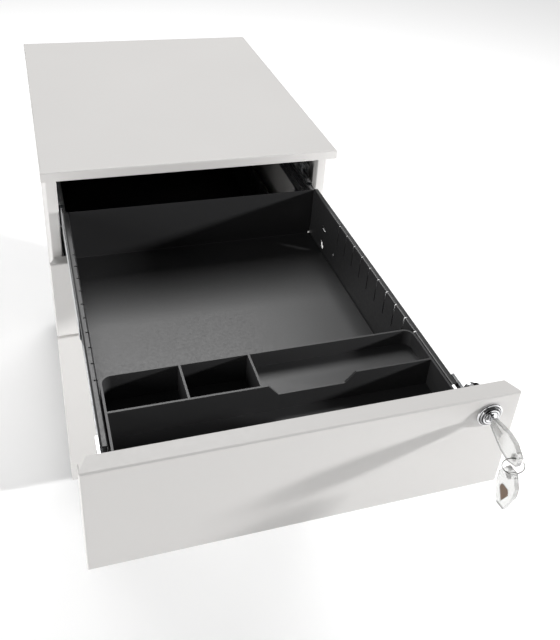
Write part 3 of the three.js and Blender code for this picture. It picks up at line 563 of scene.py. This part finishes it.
def headTree():
    # puts a fastener head on each vertex, its top turned to the vertex's "facing", spun at random
    tree, ids, entry, leave = nodeTree("fastenerHeads", [
        ("Head", "NodeSocketObject"), ("Size", "NodeSocketFloat"), ("Seed", "NodeSocketInt"),
        ("Finish", "NodeSocketMaterial")])
    head = tree.nodes.new("GeometryNodeObjectInfo")
    facing = tree.nodes.new("GeometryNodeInputNamedAttribute")
    facing.data_type = "FLOAT_VECTOR"
    facing.inputs["Name"].default_value = "facing"
    turn = tree.nodes.new("FunctionNodeAlignRotationToVector")
    turn.axis = "Z"
    chance = tree.nodes.new("FunctionNodeRandomValue")
    chance.data_type = "FLOAT"
    chance.inputs[2].default_value = 0.0
    chance.inputs[3].default_value = 6.2832  # a whole turn
    spin = tree.nodes.new("FunctionNodeRotateRotation")
    spin.rotation_space = "LOCAL"
    about = tree.nodes.new("FunctionNodeAxisAngleToRotation")
    about.inputs["Axis"].default_value = (0, 0, 1)
    heads = tree.nodes.new("GeometryNodeInstanceOnPoints")
    solid = tree.nodes.new("GeometryNodeRealizeInstances")
    paint = tree.nodes.new("GeometryNodeSetMaterial")
    join = tree.links.new
    join(entry.outputs["Head"], head.inputs["Object"])
    join(facing.outputs[0], turn.inputs["Vector"])
    join(entry.outputs["Seed"], chance.inputs["Seed"])
    join(chance.outputs[1], about.inputs["Angle"])
    join(turn.outputs["Rotation"], spin.inputs["Rotation"])
    join(about.outputs["Rotation"], spin.inputs["Rotate By"])
    join(entry.outputs["Geometry"], heads.inputs["Points"])
    join(head.outputs["Geometry"], heads.inputs["Instance"])
    join(spin.outputs["Rotation"], heads.inputs["Rotation"])
    join(entry.outputs["Size"], heads.inputs["Scale"])
    join(heads.outputs["Instances"], solid.inputs["Geometry"])
    join(solid.outputs["Geometry"], paint.inputs["Geometry"])
    join(entry.outputs["Finish"], paint.inputs["Material"])
    join(paint.outputs["Geometry"], leave.inputs["Geometry"])
    return tree, ids


def grown(name, points, treeAndIds, values, facings=None):
    # a plain mesh from a tree run on loose vertices
    mesh = bpy.data.meshes.new(name)
    mesh.from_pydata([tuple(p) for p in points], [], [])
    if facings is not None:
        attribute = mesh.attributes.new("facing", "FLOAT_VECTOR", "POINT")
        for k, way in enumerate(facings):
            attribute.data[k].vector = way
    piece = sceneObject(name, mesh)
    tree, ids = treeAndIds
    modifier = piece.modifiers.new("grown", "NODES")
    modifier.node_group = tree
    for label, value in values.items():
        modifier[ids[label]] = value
    return flattened(piece)


def screwHead(name, radius, height, cross):
    # a pan head with a cross recess, its underside at z = 0
    shape = bmesh.new()
    rings = [(1.0, 0.0), (1.0, 0.35), (0.93, 0.68), (0.78, 0.9), (0.55, 1.0)]
    steps = 24
    rows = []
    for r, h in rings:
        rows.append([shape.verts.new((radius * r * math.cos(2 * math.pi * k / steps),
                                      radius * r * math.sin(2 * math.pi * k / steps), height * h))
                     for k in range(steps)])
    for low, high in zip(rows, rows[1:]):
        for k in range(steps):
            n = (k + 1) % steps
            shape.faces.new((low[k], low[n], high[n], high[k]))
    shape.faces.new(rows[0][::-1])
    inner = []
    for k in range(steps):
        a = 2 * math.pi * k / steps
        arm = max(abs(math.cos(2 * a)), 0.0) ** 6
        r = radius * (0.12 + cross * arm * 0.38)
        inner.append(shape.verts.new((r * math.cos(a), r * math.sin(a), height)))
    sunk = [shape.verts.new((v.co.x * 0.8, v.co.y * 0.8, height * (1 - 0.6 * min(cross, 1)))) for v in inner]
    for k in range(steps):
        n = (k + 1) % steps
        shape.faces.new((rows[-1][k], rows[-1][n], inner[n], inner[k]))
        shape.faces.new((inner[k], inner[n], sunk[n], sunk[k]))
    shape.faces.new(sunk)
    bmesh.ops.recalc_face_normals(shape, faces=shape.faces)
    mesh = bpy.data.meshes.new(name)
    shape.to_mesh(mesh)
    shape.free()
    smoothBy(mesh, 40)
    return sceneObject(name, mesh)


ballRows = ballTree()
fastenerHeads = headTree()
screw = screwHead("screwPattern", 0.0036, 0.0019, 1.0)
rivet = screwHead("rivetPattern", 0.003, 0.0014, 0.0)

slideLooks = {
    "ball": 1.1, "pitch": 7.0, "rowCount": 12,
    "endRoom": 0.012, "sheet": 0.001, "innerHalf": 0.0105, "besideInner": 0.00125,
}


def slideBalls(drawer):
    # four rows on each slide, two in each channel, moving with the middle member
    points = []
    for side in sideNames:
        low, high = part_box(f"{drawer}_slide_middle_member_{side}")
        outerLow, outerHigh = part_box(f"{drawer}_slide_cabinet_member_{side}")
        x = (low.x + high.x) / 2
        sheet, endRoom = slideLooks["sheet"], slideLooks["endRoom"]
        for z in ((high.z + outerHigh.z - sheet) / 2, (low.z + outerLow.z + sheet) / 2):
            points.append((x, high.y - endRoom - slideLooks["pitch"] / 1000 * slideLooks["rowCount"], z))
        away = slideLooks["innerHalf"] + slideLooks["besideInner"]
        middle = (low.z + high.z) / 2
        for z in (middle + away, middle - away):
            points.append((x, low.y + endRoom, z))
    values = {"Count": slideLooks["rowCount"], "Step": (0, slideLooks["pitch"] / 1000, 0),
              "Radius": slideLooks["ball"] / 1000, "Finish": finishes["chrome"]}
    piece = grown(drawer + "SlideBalls", points, ballRows, values)
    given(piece, finishes["chrome"], drawer + "_slides", "chrome")


for drawer in drawerNames:
    slideBalls(drawer)


def heads(name, spots, pattern, body, slot, seed, size=1.0):
    points = [p for p, way in spots]
    ways = [way for p, way in spots]
    values = {"Head": pattern, "Size": size, "Seed": seed, "Finish": finishes[slot]}
    given(grown(name, points, fastenerHeads, values, ways), finishes[slot], body, slot)


fastenerPlaces = {
    "backRivetRows": 6, "backInset": 0.0075, "backEnd": 0.03, "slideRivetSize": 0.55,
    "plateHalf": 0.021, "plateThickness": 0.0022, "plateCut": 1.3, "plateBore": 0.0056,
    "plateScrews": 0.72,   # share of the plate's half width
    "stemBack": 0.009,     # castor stem behind its hood's front
    "frontAcross": 0.135, "frontShares": (0.3, 0.75), "sheet": 0.001,
}


def cabinetFasteners():
    spots = []
    low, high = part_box("side_panel_right")
    back = high.y
    end = fastenerPlaces["backEnd"]
    rows = fastenerPlaces["backRivetRows"]
    for side in (-1, 1):
        for k in range(rows):
            z = low.z + end + (high.z - low.z - 2 * end) * k / (rows - 1)
            spots.append(((side * (high.x - fastenerPlaces["backInset"]), back, z), (0, 1, 0)))
    heads("backRivets", spots, rivet, "cabinet", "white_coat", 3)
    spots = []
    for drawer in drawerNames:
        for side, sign in (("left", -1), ("right", 1)):
            low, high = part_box(f"{drawer}_slide_cabinet_member_{side}")
            outer = high.x if sign > 0 else low.x
            for post in ("front_post_left", "rear_post_left"):
                y = middleOf(post).y
                inside = outer - sign * fastenerPlaces["sheet"]
                spots.append(((inside, y, (low.z + high.z) / 2), (-sign, 0, 0)))
    heads("slideRivets", spots, rivet, "cabinet", "zinc_plated", 5, fastenerPlaces["slideRivetSize"])


def castorPlates():
    places = [n.replace("castor_hood_", "") for n in frame["nodes"] if n.startswith("castor_hood_")]
    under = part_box("base_panel")[1].z - fastenerPlaces["sheet"]
    half, bore = fastenerPlaces["plateHalf"], fastenerPlaces["plateBore"]
    screwOut = half * fastenerPlaces["plateScrews"]
    plates = bmesh.new()
    spots = []
    for place in sorted(places):
        low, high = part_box("castor_hood_" + place)
        x = (low.x + high.x) / 2
        y = low.y + fastenerPlaces["stemBack"]
        rings = []
        for z in (under, under - fastenerPlaces["plateThickness"]):
            outer, inner = [], []
            for k in range(32):
                a = 2 * math.pi * (k + 0.5) / 32
                reach = half / max(abs(math.cos(a)), abs(math.sin(a)))
                reach = min(reach, half * fastenerPlaces["plateCut"])
                outer.append(plates.verts.new((x + reach * math.cos(a), y + reach * math.sin(a), z)))
                inner.append(plates.verts.new((x + bore * math.cos(a), y + bore * math.sin(a), z)))
            rings.append((outer, inner))
        (outerA, innerA), (outerB, innerB) = rings
        for k in range(32):
            n = (k + 1) % 32
            plates.faces.new((outerA[k], outerA[n], innerA[n], innerA[k]))
            plates.faces.new((outerB[k], innerB[k], innerB[n], outerB[n]))
            plates.faces.new((outerA[k], outerB[k], outerB[n], outerA[n]))
            plates.faces.new((innerA[k], innerA[n], innerB[n], innerB[k]))
        for sx in (-1, 1):
            for sy in (-1, 1):
                spots.append(((x + sx * screwOut, y + sy * screwOut,
                               under - fastenerPlaces["plateThickness"]), (0, 0, -1)))
    bmesh.ops.recalc_face_normals(plates, faces=plates.faces)
    mesh = bpy.data.meshes.new("castorPlates")
    plates.to_mesh(mesh)
    plates.free()
    smoothBy(mesh, 20)
    piece = softened(sceneObject("castorPlates", mesh), 0.0003)
    given(piece, finishes["zinc_plated"], "cabinet", "zinc_plated")
    heads("castorScrews", spots, screw, "cabinet", "zinc_plated", 11)


def drawerFasteners():
    for number, drawer in enumerate(drawerNames):
        low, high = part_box(drawer + "_drawer_body")
        spots = []
        for side in (-1, 1):
            for share in fastenerPlaces["frontShares"]:
                z = low.z + (high.z - low.z) * share
                x = side * fastenerPlaces["frontAcross"]
                spots.append(((x, low.y + fastenerPlaces["sheet"], z), (0, 1, 0)))
        heads(drawer + "FrontScrews", spots, screw, drawer + "_drawer", "zinc_plated", 20 + number)


cabinetFasteners()
castorPlates()
drawerFasteners()
for pattern in (screw, rivet):
    bpy.data.objects.remove(pattern)
print("balls, rivets and screws made")


# floor, light and camera

studio = {
    "floorSize": 14, "floor": (0.95, 0.95, 0.95),
    "glowFrom": 0.5, "glowTo": 2.2, "glowNear": 0.05, "glowFar": 0.6,
    "room": (1.0, 1.0, 1.0), "roomLight": 0.08, "roomSeen": 1.0,
    # place, target, width, height, watts
    "lamps": {
        "overheadBox": ((0.0, 1.5, 2.6), (0.0, -0.2, 0.4), 1.9, 1.3, 52),
        "leftBox": ((-2.4, -0.72, 0.9), (-0.1, -0.1, 0.25), 1.4, 1.4, 46),
        "rightLamp": ((2.1, -0.97, 1.06), (0.1, -0.45, 0.5), 0.14, 0.14, 68),
    },
}


def makeFloor():
    shape = bmesh.new()
    half = studio["floorSize"] / 2
    bmesh.ops.create_grid(shape, x_segments=8, y_segments=8, size=half)
    mesh = bpy.data.meshes.new("floor")
    shape.to_mesh(mesh)
    shape.free()
    piece = sceneObject("floor", mesh)
    material, tree, bsdf = newFinish("paleFloor")
    cloud = noise(tree, 1.5, 3)
    tree.links.new(shades(tree, cloud, tinted(studio["floor"], 0.985), tinted(studio["floor"], 1.015)),
                   bsdf.inputs["Base Color"])
    bsdf.inputs["Roughness"].default_value = 0.7
    # far out the floor glows a little, like a lit white sweep
    away = tree.nodes.new("ShaderNodeVectorMath")
    away.operation = "LENGTH"
    tree.links.new(patternAt(tree), away.inputs[0])
    glow = tree.nodes.new("ShaderNodeMapRange")
    glow.interpolation_type = "SMOOTHSTEP"
    for side, value in (("From Min", studio["glowFrom"]), ("From Max", studio["glowTo"]),
                        ("To Min", studio["glowNear"]), ("To Max", studio["glowFar"])):
        glow.inputs[side].default_value = value
    tree.links.new(away.outputs["Value"], glow.inputs["Value"])
    tree.links.new(glow.outputs["Result"], bsdf.inputs["Emission Strength"])
    bsdf.inputs["Emission Color"].default_value = (1, 1, 1, 1)
    mesh.materials.append(material)


def areaLight(name, place, target, size, sizeY, power, colour=(1, 1, 1)):
    data = bpy.data.lights.new(name, "AREA")
    data.shape = "RECTANGLE"
    data.size = size
    data.size_y = sizeY
    data.energy = power
    data.color = colour
    lamp = bpy.data.objects.new(name, data)
    bpy.context.scene.collection.objects.link(lamp)
    lamp.location = place
    lamp.rotation_euler = (Vector(target) - Vector(place)).to_track_quat("-Z", "Y").to_euler()
    return lamp


def makeLights():
    world = bpy.data.worlds.new("studio")
    bpy.context.scene.world = world
    world.use_nodes = True
    nodes, links = world.node_tree.nodes, world.node_tree.links
    # the room is seen white, but gives little light of its own
    path = nodes.new("ShaderNodeLightPath")
    strength = nodes.new("ShaderNodeMapRange")
    strength.inputs["To Min"].default_value = studio["roomLight"]
    strength.inputs["To Max"].default_value = studio["roomSeen"]
    links.new(path.outputs["Is Camera Ray"], strength.inputs["Value"])
    links.new(strength.outputs["Result"], nodes["Background"].inputs["Strength"])
    nodes["Background"].inputs["Color"].default_value = (*studio["room"], 1)
    for name, lamp in studio["lamps"].items():
        areaLight(name, *lamp)
    bpy.context.scene.view_settings.view_transform = "Standard"


cameraLooks = {
    "place": (-0.208066, -0.897092, 1.080013), "yaw": 0.348, "pitch": -0.554, "roll": -0.079,
    "lens": 44.351, "shiftX": 0.0, "shiftY": -0.1312,
}


def makeCamera():
    look = cameraLooks
    yaw, pitch, roll = look["yaw"], look["pitch"], look["roll"]
    ahead = Vector((math.sin(yaw) * math.cos(pitch), math.cos(yaw) * math.cos(pitch), math.sin(pitch)))
    right = Vector((math.cos(yaw), -math.sin(yaw), 0))
    down = ahead.cross(right)
    rightTurned = right * math.cos(roll) + down * math.sin(roll)
    downTurned = down * math.cos(roll) - right * math.sin(roll)
    data = bpy.data.cameras.new("camera")
    data.sensor_width = 36
    data.lens = look["lens"]
    data.shift_x = look["shiftX"]
    data.shift_y = look["shiftY"]
    data.clip_start = 0.02
    camera = bpy.data.objects.new("camera", data)
    bpy.context.scene.collection.objects.link(camera)
    turn = Matrix((rightTurned, -downTurned, -ahead)).transposed()
    camera.matrix_world = Matrix.Translation(look["place"]) @ turn.to_4x4()
    bpy.context.scene.camera = camera


makeFloor()
makeLights()
makeCamera()
print("studio made")
